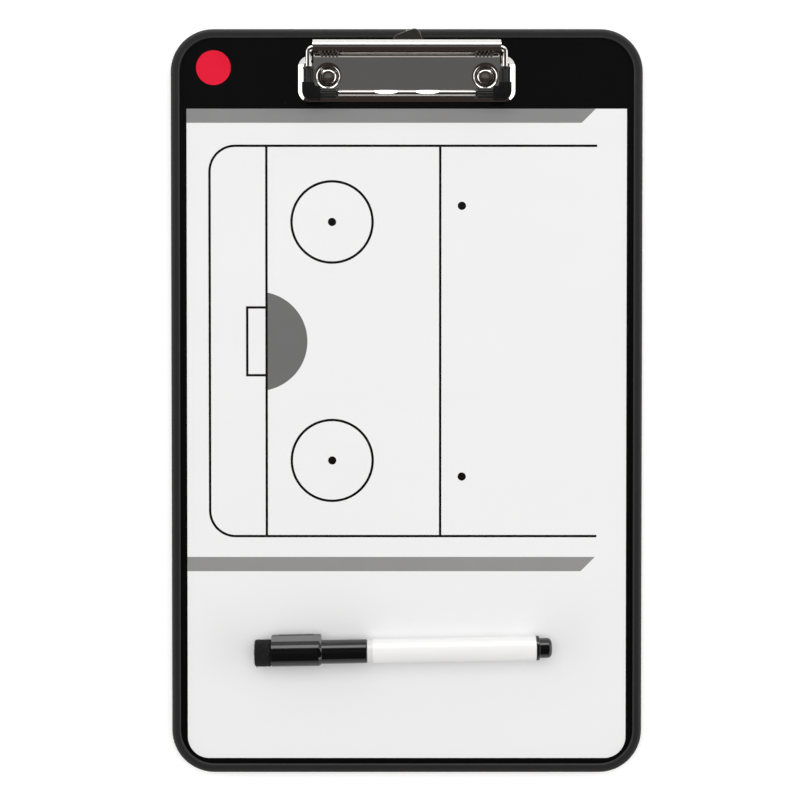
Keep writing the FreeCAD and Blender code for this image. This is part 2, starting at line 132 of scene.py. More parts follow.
class PrintSettings(bpy.types.PropertyGroup):
    """Sizes and inks of what is printed on the face."""

    ink_height: length("Ink height", "How far the ink stands off the film", 0.03)
    border_lap: length("Border lap", "How far the border runs in under the trim", 0.4)
    field_half_width: length("Field half width", "Half the white field's width", 103.13)
    field_top: length("Field top", "Where the header ends", 137.34)
    field_bottom: length("Field bottom", "Where the white field ends", -167.8)
    field_corner: length("Field corner", "Radius of the field's lower corners", 10.1)
    upper_bar_height: length("Upper bar height", "Height of the bar under the header", 6.57)
    lower_bar_top: length("Lower bar top", "Upper edge of the bar below the rink", -72.85)
    lower_bar_height: length("Lower bar height", "Height of the bar below the rink", 6.73)
    bar_end: length("Bar end", "Where the bars' upper edges end", 88.5)
    rink_left: length("Rink left", "Middle of the end board's line", -92.4)
    rink_right: length("Rink right", "Where the rink's long lines stop", 89.2)
    rink_middle: length("Rink middle", "Height of the rink's long axis", 28.5)
    rink_half_width: length("Rink half width", "From the long axis to a side line", 91.54)
    rink_corner: length("Rink corner", "Radius of the rink's corners", 12.0)
    goal_line: length("Goal line", "Where the goal line runs", -65.76)
    zone_line: length("Zone line", "Where the zone line runs", 15.71)
    line_width: length("Line width", "Width of the rink's lines", 1.12)
    ring_width: length("Ring width", "Width of the circles' lines", 1.15)
    circle_place: length("Circle place", "Where the circles' centres lie along the rink", -35.0)
    circle_offset: length("Circle offset", "From the long axis to a circle's centre", 55.93)
    circle_radius: length("Circle radius", "Radius of a circle at the middle of its line", 19.0)
    dot_radius: length("Dot radius", "Radius of a spot", 1.93)
    outer_dot_place: length("Outer dot place", "Where the spots past the zone line lie", 25.85)
    outer_dot_offset: length("Outer dot offset", "From the long axis to those spots", 63.5)
    goal_depth: length("Goal depth", "Depth of the goal's frame behind its line", 9.08)
    goal_half_width: length("Goal half width", "Half the goal's width", 15.9)
    crease_centre: length("Crease centre", "Centre of the crease's arc along the rink", -69.9)
    crease_radius: length("Crease radius", "Radius of the crease's arc", 23.3)
    disc_place_x: length("Disc across", "Centre of the header's disc across the board", -90.45)
    disc_place_y: length("Disc along", "Centre of the header's disc along the board", 156.5)
    disc_radius: length("Disc radius", "Radius of the header's disc", 8.1)
    black: colour("Border black", "Ink of the header and border", 0.0022, 0.0022, 0.0023)
    line_black: colour("Line black", "Ink of the rink's lines", 0.004, 0.004, 0.004)
    upper_grey: colour("Upper grey", "Ink of the bar under the header", 0.248, 0.248, 0.248)
    lower_grey: colour("Lower grey", "Ink of the bar below the rink", 0.283, 0.283, 0.283)
    crease_grey: colour("Crease grey", "Ink of the crease", 0.153, 0.153, 0.153)
    red: colour("Red", "Ink of the header's disc", 0.76, 0.004, 0.032)


class TrimSettings(bpy.types.PropertyGroup):
    """The soft channel round the board."""

    corner: length("Corner", "Radius of the channel's outer corners", 20.0)
    cover: length("Cover", "How far the channel reaches in over the face", 4.2)
    wall: length("Wall", "Thickness of the channel", 1.2)
    edge: length("Edge", "Rounding of the channel's outer edges", 1.5)
    lip: length("Lip", "Rounding of the channel's lips", 0.4)
    seam: length("Seam", "Gap where the channel's ends meet", 0.2)


class RubberSettings(bpy.types.PropertyGroup):
    """The ribbed corners on the bail."""

    bend: length("Bend", "Radius of the wire's bend", 4.3)
    bore: length("Bore", "Radius of the hole for the wire", 1.38)
    elbow_half: length("Elbow half", "Half the smooth elbow's thickness", 2.9)
    elbow_corner: length("Elbow corner", "Rounding of the elbow's outer corner", 3.5)
    elbow_inside: length("Elbow inside", "Rounding of the elbow's inner corner", 0.7)
    elbow_edge: length("Elbow edge", "Rounding of the elbow's other edges", 1.0)
    sleeve_radius: length("Sleeve radius", "Radius over the sleeves' ribs", 2.45)
    arm_leg: length("Arm leg", "From the bail's corner to the end on the arm", 12.1)
    bar_leg: length("Bar leg", "From the bail's corner to the end on the bar", 13.9)
    arm_ribs: length("Arm ribs", "Length of the ribs on the arm", 7.3)
    bar_ribs: length("Bar ribs", "Length of the ribs on the bar", 8.3)
    rib_depth: length("Rib depth", "Depth of the grooves between the ribs", 0.42)
    rib_edge: length("Rib edge", "Rounding of the ribs", 0.13)
    ribs: IntProperty(name="Ribs", description="Number of ribs round a sleeve", default=12)
    collar_radius: length("Collar radius", "Radius of the band at a sleeve's end", 2.6)
    collar_length: length("Collar length", "Length of that band", 1.1)


class RivetSettings(bpy.types.PropertyGroup):
    """The clip's rivets."""

    head: length("Head", "Radius of a rivet's head", 4.1)
    dome: length("Dome", "Height of the head over its rim", 1.5)
    rim: length("Rim", "Height of the rim over the seat", 0.55)
    foot: length("Foot", "Radius of the head's underside", 3.6)
    seat: length("Seat", "Height of the clip's seat under the head", 6.02)
    shank: length("Shank", "Radius of the shank", 1.75)
    tail: length("Tail", "Radius of the rolled tail", 3.0)
    tail_height: length("Tail height", "Height of the rolled tail", 0.8)
    bore: length("Bore", "Radius of the tail's bore", 1.0)
    bore_depth: length("Bore depth", "Depth of the tail's bore", 2.6)


class SpringSettings(bpy.types.PropertyGroup):
    """The bail's torsion springs."""

    wire: length(
        "Wire", "Diameter of the springs' wire, and the length of coil kept with each leg", 1.3)


class FeltSettings(bpy.types.PropertyGroup):
    """The eraser's felt pad."""

    edge: length("Edge", "Rounding of the pad's free end", 1.1)
    gap: length("Gap", "Between the pad and the cap", 0.02)
    fineness: length("Fineness", "Size of the pad's facets", 0.26)
    lump: length("Lump", "Size of the nap's lumps", 0.7)
    nap: length("Nap", "Depth of the nap's lumps", 0.5)
    fibre_length: length("Fibre length", "Length of a loose fibre", 0.8)
    fibre_radius: length("Fibre radius", "Radius of a loose fibre's root", 0.04)
    fibres: IntProperty(name="Fibres", description="Number of loose fibres", default=320)


class FinishSettings(bpy.types.PropertyGroup):
    """Colours of the pieces' materials."""

    trim: colour("Trim", "Vinyl of the edge trim", 0.0165, 0.0165, 0.0168)
    film: colour("Film", "White dry-erase film", 0.857, 0.862, 0.868)
    nickel: colour("Nickel", "Bright plate of the clip", 0.72, 0.70, 0.675)
    spring: colour("Spring", "Drawn wire of the springs", 0.15, 0.142, 0.135)
    eyelet: colour("Eyelet", "Dulled strip of the eyelet", 0.22, 0.205, 0.185)
    rubber: colour("Rubber", "Corners of the bail", 0.0032, 0.0032, 0.0032)
    pen_white: colour("Pen white", "Barrel of the marker", 0.85, 0.85, 0.85)
    pen_pale: colour("Pen pale", "Nib holder of the marker", 0.74, 0.74, 0.73)
    pen_black: colour("Pen black", "Cap and plug of the marker", 0.0035, 0.0035, 0.0037)
    nib: colour("Nib", "Fibre of the marker's nib", 0.006, 0.006, 0.006)
    ink: colour("Ink", "Fibre of the marker's ink rod", 0.012, 0.012, 0.014)
    felt: colour("Felt", "Eraser on the cap", 0.0042, 0.0042, 0.0042)


class StageSettings(bpy.types.PropertyGroup):
    """Camera, lamps and floor."""

    camera_distance: length("Camera distance", "From the lens to the board's face", 680.0)
    camera_tilt: FloatProperty(
        name="Camera tilt", description="Lean of the camera towards the clip's end",
        default=math.radians(0.912), subtype="ANGLE")
    view_width: length("View width", "Width of the frame at the board's face", 375.7)
    view_x: length("View across", "Middle of the frame across the board", -3.15)
    view_y: length("View along", "Middle of the frame along the board", 0.97)
    back_lamp: power("Back lamp", "Power of the soft box past the clip", 48.0)
    left_lamp: power("Left lamp", "Power of the left soft box", 23.0)
    right_lamp: power("Right lamp", "Power of the right soft box", 28.0)
    fill_lamp: power("Fill lamp", "Power of the overhead fill", 48.8)
    floor: colour("Floor", "Paint of the floor", 0.9, 0.9, 0.9)


class Value:
    """A shader socket that takes part in Python arithmetic."""

    def __init__(self, graph, output):
        self.graph = graph
        self.output = output

    def maths(self, operation, *values):
        """A Math node on values."""
        return self.graph.node("ShaderNodeMath", {"operation": operation}, dict(enumerate(values)))

    def __add__(self, other):
        return self.maths("ADD", self, other)

    def __radd__(self, other):
        return self.maths("ADD", other, self)

    def __sub__(self, other):
        return self.maths("SUBTRACT", self, other)

    def __rsub__(self, other):
        return self.maths("SUBTRACT", other, self)

    def __mul__(self, other):
        return self.maths("MULTIPLY", self, other)

    def __pow__(self, other):
        return self.maths("POWER", self, other)

    def __abs__(self):
        return self.maths("ABSOLUTE", self)

    def at_least(self, other):
        return self.maths("MAXIMUM", self, other)

    def at_most(self, other):
        return self.maths("MINIMUM", self, other)


class Graph:
    """The nodes of a material or world."""

    def __init__(self, owner):
        owner.use_nodes = True
        self.owner = owner
        self.tree = owner.node_tree
        self.tree.nodes.clear()

    def node(self, kind, settings=None, inputs=None, output=0):
        """Adds a node, sets it up, feeds its sockets and gives one of its outputs."""
        made = self.tree.nodes.new(kind)
        for name, value in (settings or {}).items():
            setattr(made, name, value)
        for key, value in (inputs or {}).items():
            if isinstance(value, Value):
                self.tree.links.new(value.output, made.inputs[key])
            else:
                made.inputs[key].default_value = value
        return Value(self, made.outputs[output]) if made.outputs else None

    def place(self, stretch=(1, 1, 1)):
        """Object coordinates, drawn out along the axes."""
        where = self.node("ShaderNodeTexCoord", output="Object")
        return self.node("ShaderNodeMapping", inputs={
            "Vector": where, "Scale": [1 / factor for factor in stretch]})

    def grain(self, size, detail=2.0, stretch=(1, 1, 1)):
        """Cloudy noise with lumps of a size in metres."""
        return self.node("ShaderNodeTexNoise", inputs={
            "Vector": self.place(stretch), "Scale": 1 / size, "Detail": detail})

    def cells(self, size):
        """Distance to the nearest of scattered points, in units of their spacing."""
        return self.node("ShaderNodeTexVoronoi", inputs={
            "Vector": self.place(), "Scale": 1 / size}, output="Distance")

    def fade(self, value, low, high):
        """Smooth step of a value, 0 at low and 1 at high."""
        return self.node("ShaderNodeMapRange", {"interpolation_type": "SMOOTHSTEP"}, {
            "Value": value, "From Min": low, "From Max": high})

    def mix(self, share, first, second):
        """Blend of two colours, by the Mix node's colour sockets."""
        return self.node(
            "ShaderNodeMix", {"data_type": "RGBA"}, {0: share, 6: first, 7: second}, output=2)

    def bump(self, height, depth):
        """Normal of a surface raised by height times depth, in metres."""
        return self.node("ShaderNodeBump", inputs={"Height": height, "Distance": depth})


def tone(rgb, factor=1.0):
    """A colour times a factor, with its alpha."""
    return [channel * factor for channel in rgb] + [1.0]


def grey(level):
    """A grey, with its alpha."""
    return tone([level] * 3)


def surfaced(graph, **sockets):
    """Closes a graph with a Principled surface and gives its material.

    The surface's sockets are named with _ for spaces."""
    inputs = {name.replace("_", " "): value for name, value in sockets.items()}
    shader = graph.node("ShaderNodeBsdfPrincipled", inputs=inputs)
    graph.node("ShaderNodeOutputMaterial", inputs={"Surface": shader})
    return graph.owner


def new_graph(name):
    """The empty graph of a new material."""
    return Graph(bpy.data.materials.new(name))


def specks(graph, spacing, size):
    """Mask of scattered dust specks, about size times spacing across, most of them missing."""
    near = graph.fade(graph.cells(spacing), size, size * 0.5)
    return near * graph.fade(graph.grain(spacing * 3), low=0.56, high=0.62)


def from_edge(graph, half_width, half_length, corner):
    """Distance in from the edge of a rounded rectangle round the origin."""
    where = graph.node("ShaderNodeTexCoord", output="Object")
    across, along = (
        abs(graph.node("ShaderNodeSeparateXYZ", inputs={0: where}, output=axis)) - (half - corner)
        for axis, half in (("X", half_width), ("Y", half_length))
    )
    straight = across.at_least(along).at_most(0.0)
    bent = across.at_least(0.0) ** 2 + along.at_least(0.0) ** 2
    return corner - (straight + bent ** 0.5)


def trim_vinyl(rgb, half_width, half_length, trim):
    """Soft vinyl with a fine grain and dust specks, with a painted highlight along its crown and
    lip and painted shade down its side.
    """
    graph = new_graph("trim_vinyl")
    inwards = from_edge(graph, half_width, half_length, trim.corner)
    # Painted highlight: the crown and lip masks lighten the base colour where the rounds catch the
    # lamps
    crown = graph.fade(inwards, 0.3 * MM, 1.1 * MM) * graph.fade(inwards, 2.2 * MM, 1.4 * MM)
    lip = graph.fade(inwards, trim.cover - 0.9 * MM, trim.cover - 0.4 * MM)
    # Painted shade: the side mask darkens the base colour down the outer side
    side = graph.fade(inwards, 0.9 * MM, 0.1 * MM)
    cloud = graph.grain(9 * MM)
    grain = graph.grain(0.3 * MM, detail=4.0)
    dust = specks(graph, spacing=7 * MM, size=0.018)
    painted_highlight, shaded = tone(rgb, 1.9), tone(rgb, 0.1)
    base = graph.mix(cloud, tone(rgb, 0.85), tone(rgb, 1.15))
    # Painted highlight on the crown and lip, then painted shade down the side
    base = graph.mix(crown * 0.6 + lip, base, painted_highlight)
    base = graph.mix(side * 0.8, base, shaded)
    return surfaced(
        graph,
        Base_Color=graph.mix(dust * 0.6, base, grey(0.25)),
        Roughness=0.38 + grain * 0.12,
        Specular_IOR_Level=0.2,
        Normal=graph.bump(grain, depth=0.02 * MM),
    )


def hardboard():
    """Pressed brown fibre board."""
    graph = new_graph("hardboard")
    fibre = graph.grain(0.8 * MM, detail=5.0, stretch=(6, 1, 1))
    return surfaced(
        graph,
        Base_Color=graph.mix(fibre, (0.028, 0.019, 0.013, 1), (0.075, 0.052, 0.036, 1)),
        Roughness=0.8 + fibre * 0.15,
        Normal=graph.bump(fibre, depth=0.1 * MM),
    )


def gloss_film(name, rgb):
    """Gloss dry-erase film with faint wiping marks."""
    graph = new_graph(name)
    wiped = graph.grain(26 * MM, detail=3.0, stretch=(3, 1, 1))
    peel = graph.grain(2.4 * MM, detail=1.0)
    dust = specks(graph, spacing=16 * MM, size=0.012)
    base = graph.mix(wiped, tone(rgb, 0.985), tone(rgb, 1.01))
    return surfaced(
        graph,
        Base_Color=graph.mix(dust * 0.5, base, grey(0.3)),
        Roughness=0.16 + wiped * 0.1,
        Normal=graph.bump(peel, depth=0.002 * MM),
    )


def gloss_ink(name, rgb, specular=0.5):
    """Ink under the same gloss as the film, with dust on it."""
    graph = new_graph(name)
    cloud = graph.grain(14 * MM)
    dust = specks(graph, spacing=6.5 * MM, size=0.022)
    base = graph.mix(cloud, tone(rgb, 0.96), tone(rgb, 1.04))
    return surfaced(
        graph,
        Base_Color=graph.mix(dust * 0.35, base, grey(0.3)),
        Roughness=0.15 + cloud * 0.1,
        Specular_IOR_Level=specular,
    )


def bright_nickel(rgb):
    """Bright plate over polished steel, with faint drawing lines and pits."""
    graph = new_graph("bright_nickel")
    drawn = graph.grain(0.35 * MM, detail=3.0, stretch=(60, 1, 1))
    cloud = graph.grain(12 * MM)
    pits = specks(graph, spacing=5 * MM, size=0.02)
    base = graph.mix(cloud, tone(rgb, 0.96), tone(rgb, 1.03))
    return surfaced(
        graph,
        Base_Color=graph.mix(pits * 0.6, base, tone((0.2, 0.17, 0.14))),
        Metallic=1.0,
        Roughness=0.04 + drawn * 0.04 + pits * 0.3,
    )


def drawn_wire(rgb):
    """Drawn spring wire, slightly dull."""
    graph = new_graph("drawn_wire")
    drawn = graph.grain(0.2 * MM, detail=3.0, stretch=(8, 1, 1))
    return surfaced(
        graph,
        Base_Color=graph.mix(drawn, tone(rgb, 0.8), tone(rgb, 1.15)),
        Metallic=1.0,
        Roughness=0.2 + drawn * 0.15,
    )


def dulled_strip(rgb):
    """Plated strip dulled by handling."""
    graph = new_graph("dulled_strip")
    rubbed = graph.grain(0.5 * MM, detail=4.0, stretch=(1, 5, 1))
    stain = graph.grain(3 * MM, detail=3.0)
    return surfaced(
        graph,
        Base_Color=graph.mix(stain, tone(rgb, 0.6), tone(rgb, 1.15)),
        Metallic=1.0,
        Roughness=0.16 + rubbed * 0.14,
    )


def moulded_rubber(name, rgb, roughness, specular):
    """Black rubber with a dusty bloom."""
    graph = new_graph(name)
    bloom = graph.grain(1.6 * MM, detail=4.0)
    grain = graph.grain(0.15 * MM, detail=3.0)
    return surfaced(
        graph,
        Base_Color=graph.mix(bloom, tone(rgb, 0.8), tone(rgb, 1.6)),
        Roughness=roughness + bloom * 0.12,
        Specular_IOR_Level=specular,
        Normal=graph.bump(grain, depth=0.002 * MM),
    )


def moulded(name, rgb, roughness):
    """Injection-moulded plastic with fine scuffs along the pen."""
    graph = new_graph(name)
    flow = graph.grain(6 * MM, detail=2.0, stretch=(4, 1, 1))
    scuff = graph.grain(0.12 * MM, detail=3.0, stretch=(40, 1, 1))
    return surfaced(
        graph,
        Base_Color=graph.mix(flow, tone(rgb, 0.97), tone(rgb, 1.02)),
        Roughness=roughness + scuff * 0.08,
        Normal=graph.bump(scuff, depth=0.0003 * MM),
    )


def bonded_fibre(name, rgb):
    """Fibre rod soaked in ink."""
    graph = new_graph(name)
    strand = graph.grain(0.1 * MM, detail=3.0, stretch=(30, 1, 1))
    return surfaced(
        graph,
        Base_Color=graph.mix(strand, tone(rgb, 0.6), tone(rgb, 1.6)),
        Roughness=0.7 + strand * 0.25,
        Normal=graph.bump(strand, depth=0.03 * MM),
    )


def pressed_felt(rgb):
    """Pressed wool felt."""
    graph = new_graph("pressed_felt")
    fibre = graph.grain(0.22 * MM, detail=6.0)
    tuft = graph.grain(0.9 * MM, detail=3.0)
    return surfaced(
        graph,
        Base_Color=graph.mix(fibre, tone(rgb, 0.5), tone(rgb, 1.9)),
        Roughness=0.85 + tuft * 0.15,
        Specular_IOR_Level=0.2,
        Sheen_Weight=0.05,
        Sheen_Roughness=0.6,
        Normal=graph.bump(fibre + tuft, depth=0.12 * MM),
    )


def sintered_ferrite():
    """Dark sintered ferrite."""
    graph = new_graph("sintered_ferrite")
    grit = graph.grain(0.2 * MM, detail=4.0)
    return surfaced(
        graph,
        Base_Color=graph.mix(grit, (0.03, 0.03, 0.03, 1), (0.07, 0.068, 0.066, 1)),
        Roughness=0.5 + grit * 0.25,
        Normal=graph.bump(grit, depth=0.02 * MM),
    )


def dress(material, *nodes):
    """Gives CAD pieces a material."""
    for name in nodes:
        node = NODES[name]
        node.data.materials.clear()
        node.data.materials.append(material)


def fresh(name, add, **options):
    """Adds a primitive with nothing else selected, and names it."""
    bpy.ops.object.select_all(action="DESELECT")
    add(**options)
    piece = bpy.context.object
    piece.name = piece.data.name = name
    return piece


@contextlib.contextmanager
def editing(piece, kind="VERT"):
    """Edit mode on one piece, with its mesh."""
    bpy.context.view_layer.objects.active = piece
    bpy.ops.object.mode_set(mode="EDIT")
    bpy.ops.mesh.select_mode(type=kind)
    yield bmesh.from_edit_mesh(piece.data)
    bpy.ops.object.mode_set(mode="OBJECT")


def pick(mesh, elements, test):
    """Selects just the elements that pass a test."""
    bpy.ops.mesh.select_all(action="DESELECT")
    for element in elements:
        element.select_set(test(element))
    mesh.select_flush_mode()


def modified(piece, kind, **options):
    """Adds a modifier, sets it up and applies it."""
    bpy.context.view_layer.objects.active = piece
    modifier = piece.modifiers.new(kind.title(), kind)
    for name, value in options.items():
        setattr(modifier, name, value)
    bpy.ops.object.modifier_apply(modifier=modifier.name)


def apply_transform():
    """Moves the active piece's place, turn and size into its mesh."""
    bpy.ops.object.transform_apply(location=True, rotation=True, scale=True)


def select_all():
    """Selects the whole mesh in edit mode."""
    bpy.ops.mesh.select_all(action="SELECT")


def extrude(step):
    """Extrudes what is selected by a step."""
    bpy.ops.mesh.extrude_region_move(TRANSFORM_OT_translate={"value": step})


def rectangle(name, low, high, height=FACE_Z):
    """Flat rectangle between two corners, on the face unless a height is given."""
    middle = ((low[0] + high[0]) / 2, (low[1] + high[1]) / 2, height)
    piece = fresh(name, bpy.ops.mesh.primitive_plane_add, size=1, location=middle)
    piece.scale = (high[0] - low[0], high[1] - low[1], 1)
    apply_transform()
    return piece


def circle(name, radius, steps, **place):
    """Filled circle, level unless it is turned."""
    piece = fresh(
        name, bpy.ops.mesh.primitive_circle_add, vertices=steps, radius=radius,
        fill_type="NGON", **place)
    apply_transform()
    return piece


def disc(name, centre, radius):
    """Flat disc on the face."""
    return circle(name, radius, CIRCLE_STEPS, location=(*centre, FACE_Z))


def every(element):
    """The test that every element passes."""
    return True


def round_corners(piece, radius, test=every):
    """Rounds the corners of a flat piece that pass a test."""
    with editing(piece) as mesh:
        pick(mesh, mesh.verts, test)
        bpy.ops.mesh.bevel(offset=radius, segments=CORNER_STEPS, affect="VERTICES")


def hollow(piece, width):
    """Leaves only a line of that width inside a flat piece's edge."""
    with editing(piece, "FACE"):
        select_all()
        bpy.ops.mesh.inset(thickness=width)
        bpy.ops.mesh.delete(type="FACE")


def cut_off(piece, point, outwards):
    """Cuts away what lies past a point."""
    with editing(piece):
        select_all()
        bpy.ops.mesh.bisect(plane_co=point, plane_no=outwards, clear_outer=True)


def joined(name, pieces):
    """Makes several pieces one."""
    bpy.ops.object.select_all(action="DESELECT")
    for piece in pieces:
        piece.select_set(True)
    bpy.context.view_layer.objects.active = pieces[0]
    bpy.ops.object.join()
    pieces[0].name = pieces[0].data.name = name
    return pieces[0]


def printed(piece, material, height):
    """Gives flat ink its thickness and material, and lays it on the board."""
    modified(piece, "SOLIDIFY", thickness=height, offset=1.0)
    piece.data.materials.append(material)
    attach(piece, "board")


def outward(piece):
    """Turns a closed piece's faces outwards."""
    with editing(piece, "FACE"):
        select_all()
        bpy.ops.mesh.normals_make_consistent(inside=False)


def rounded_rims(piece, radius, segments, test=every):
    """Rounds the edges between a level face and an upright one that pass a test."""
    with editing(piece, "EDGE") as mesh:
        pick(mesh, mesh.edges, lambda edge: len(edge.link_faces) == 2 and test(edge) and sorted(
            round(abs(face.normal.z)) for face in edge.link_faces) == [0, 1])
        bpy.ops.mesh.bevel(offset=radius, segments=segments)


def smoothed(piece, angle):
    """Shades a piece smooth, apart from edges sharper than an angle in degrees."""
    bpy.ops.object.select_all(action="DESELECT")
    piece.select_set(True)
    bpy.context.view_layer.objects.active = piece
    bpy.ops.object.shade_smooth_by_angle(angle=math.radians(angle))


def block(name, low, high):
    """Box between two corners."""
    middle = (Vector(low) + Vector(high)) / 2
    piece = fresh(name, bpy.ops.mesh.primitive_cube_add, size=1, location=middle)
    piece.scale = Vector(high) - Vector(low)
    apply_transform()
    return piece


def combined(piece, other, operation, **options):
    """Fuses another piece on or cuts its shape out, and deletes it."""
    modified(piece, "BOOLEAN", operation=operation, object=other, solver="EXACT", **options)
    bpy.data.objects.remove(other)


class TACTICS_OT_board(bpy.types.Operator):
    """Finishes the board's layers"""

    bl_idname = "tactics.board"
    bl_label = "Board"

    def execute(self, context):
        finish = context.scene.tactics_finish
        dress(hardboard(), "core_panel")
        dress(gloss_film("front_film", finish.film), "front_sheet")
        dress(gloss_film("back_film", finish.film), "back_sheet")
        return {"FINISHED"}


class TACTICS_OT_trim(bpy.types.Operator):
    """Makes the soft channel round the board's edge"""

    bl_idname = "tactics.trim"
    bl_label = "Edge trim"

    def execute(self, context):
        trim = context.scene.tactics_trim
        low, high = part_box("edge_trim")
        channel = rectangle("trim_channel", low, high, low.z)
        round_corners(channel, trim.corner)
        with editing(channel, "FACE"):
            select_all()
            extrude((0, 0, high.z - low.z))
        outward(channel)
        rounded_rims(channel, trim.edge, segments=6)
        with editing(channel, "FACE") as mesh:
            pick(mesh, mesh.faces, lambda face: len(face.verts) > 4)
            bpy.ops.mesh.inset(thickness=trim.cover - trim.edge, use_individual=True)
            bpy.ops.mesh.delete(type="FACE")
        modified(channel, "SOLIDIFY", thickness=trim.wall, offset=-1.0, use_even_offset=True)
        middle = (low.z + high.z) / 2
        reach = (high.z - low.z) / 2 - trim.wall / 2
        rounded_rims(channel, trim.lip, segments=3, test=lambda edge: all(
            abs(end.co.z - middle) > reach for end in edge.verts))
        seam = trim.seam / 2
        slit = block(
            "slit", (-seam, 0, low.z - trim.wall), (seam, high.y + trim.wall, high.z + trim.wall))
        combined(channel, slit, "DIFFERENCE")
        smoothed(channel, angle=35)
        vinyl = trim_vinyl(context.scene.tactics_finish.trim, high.x, high.y, trim)
        channel.data.materials.append(vinyl)
        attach(channel, "board")
        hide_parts("edge_trim")
        return {"FINISHED"}


class TACTICS_OT_border(bpy.types.Operator):
    """Prints the black header and border round the white field"""

    bl_idname = "tactics.border"
    bl_label = "Border print"

    def execute(self, context):
        ink = context.scene.tactics_print
        trim = context.scene.tactics_trim
        low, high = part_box("edge_trim")
        reach = trim.cover - ink.border_lap
        border = rectangle(
            "border_print", (low.x + reach, low.y + reach), (high.x - reach, high.y - reach))
        round_corners(border, trim.corner - reach)
        field = rectangle(
            "field_cutter",
            (-ink.field_half_width, ink.field_bottom), (ink.field_half_width, ink.field_top))
        round_corners(field, ink.field_corner, lambda corner: corner.co.y < 0)
        modified(field, "SOLIDIFY", thickness=2 * PAST, offset=0.0)
        modified(border, "SOLIDIFY", thickness=ink.ink_height, offset=1.0)
        combined(border, field, "DIFFERENCE")
        border.data.materials.append(gloss_ink("border_ink", ink.black, specular=0.26))
        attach(border, "board")
        red = disc("header_disc", (ink.disc_place_x, ink.disc_place_y), ink.disc_radius)
        printed(red, gloss_ink("disc_ink", ink.red, specular=0.25), 2 * ink.ink_height)
        return {"FINISHED"}


class TACTICS_OT_bars(bpy.types.Operator):
    """Prints the two grey bars with their slanted ends"""

    bl_idname = "tactics.bars"
    bl_label = "Bars"

    def execute(self, context):
        ink = context.scene.tactics_print
        for name, top, height, rgb in (
            ("upper_bar", ink.field_top, ink.upper_bar_height, ink.upper_grey),
            ("lower_bar", ink.lower_bar_top, ink.lower_bar_height, ink.lower_grey),
        ):
            bar = rectangle(name, (-ink.field_half_width, top - height), (ink.bar_end, top))
            with editing(bar) as mesh:
                pick(mesh, mesh.verts, lambda v: v.co.x > 0 and v.co.y < top - height / 2)
                bpy.ops.transform.translate(value=(-height, 0, 0))
            printed(bar, gloss_ink(name + "_ink", rgb), ink.ink_height)
        return {"FINISHED"}


class TACTICS_OT_rink(bpy.types.Operator):
    """Prints the half rink: its lines, circles, spots, goal and crease"""

    bl_idname = "tactics.rink"
    bl_label = "Rink"

    def execute(self, context):
        ink = context.scene.tactics_print
        half = ink.line_width / 2
        bottom = ink.rink_middle - ink.rink_half_width
        top = ink.rink_middle + ink.rink_half_width
        line_ink = gloss_ink("line_ink", ink.line_black)

        outline = rectangle(
            "rink_outline",
            (ink.rink_left - half, bottom - half), (ink.rink_right + ink.rink_corner, top + half))
        round_corners(outline, ink.rink_corner + half, lambda corner: corner.co.x < 0)
        hollow(outline, ink.line_width)
        cut_off(outline, (ink.rink_right, 0, 0), (1, 0, 0))
        cross_lines = [
            rectangle("cross_line", (x - half, bottom + half), (x + half, top - half))
            for x in (ink.goal_line, ink.zone_line)
        ]
        printed(joined("rink_lines", [outline] + cross_lines), line_ink, ink.ink_height)

        goal = rectangle(
            "goal_frame",
            (ink.goal_line - ink.goal_depth - half, ink.rink_middle - ink.goal_half_width - half),
            (ink.goal_line + half, ink.rink_middle + ink.goal_half_width + half))
        hollow(goal, ink.line_width)
        cut_off(goal, (ink.goal_line - half, 0, 0), (1, 0, 0))
        printed(goal, line_ink, ink.ink_height)

        crease = disc("goal_crease", (ink.crease_centre, ink.rink_middle), ink.crease_radius)
        cut_off(crease, (ink.goal_line + half, 0, 0), (-1, 0, 0))
        printed(crease, gloss_ink("crease_ink", ink.crease_grey), ink.ink_height)

        rings = []
        dots = []
        for side in (-1, 1):
            centre = (ink.circle_place, ink.rink_middle + side * ink.circle_offset)
            ring = disc("ring", centre, ink.circle_radius + ink.ring_width / 2)
            hollow(ring, ink.ring_width)
            rings.append(ring)
            outer = (ink.outer_dot_place, ink.rink_middle + side * ink.outer_dot_offset)
            dots += [disc("dot", centre, ink.dot_radius), disc("dot", outer, ink.dot_radius)]
        printed(joined("rink_circles", rings), line_ink, ink.ink_height)
        printed(joined("rink_spots", dots), line_ink, ink.ink_height)
        return {"FINISHED"}


class TACTICS_OT_clip(bpy.types.Operator):
    """Finishes the clip's metal: plate, rivets, bail, stud, springs and eyelet"""

    bl_idname = "tactics.clip"
    bl_label = "Clip"

    def execute(self, context):
        finish = context.scene.tactics_finish
        dress(
            bright_nickel(finish.nickel),
            "clip_base", "rivet_left", "rivet_right", "bail_wire", "hanger_stud")
        dress(drawn_wire(finish.spring), "torsion_spring_left", "torsion_spring_right")
        dress(dulled_strip(finish.eyelet), "hanger_tab")
        return {"FINISHED"}


def turned(name, rings):
    """Closed piece turned about Z from its rings' (radius, height)."""
    radius, height = rings[0]
    piece = circle(name, radius, TURN_STEPS, location=(0, 0, height))
    with editing(piece, "FACE"):
        select_all()
        for wide, high in rings[1:]:
            size = wide / radius
            extrude((0, 0, high - height))
            bpy.ops.transform.resize(value=(size, size, 1), center_override=(0, 0, high))
            radius, height = wide, high
    outward(piece)
    return piece


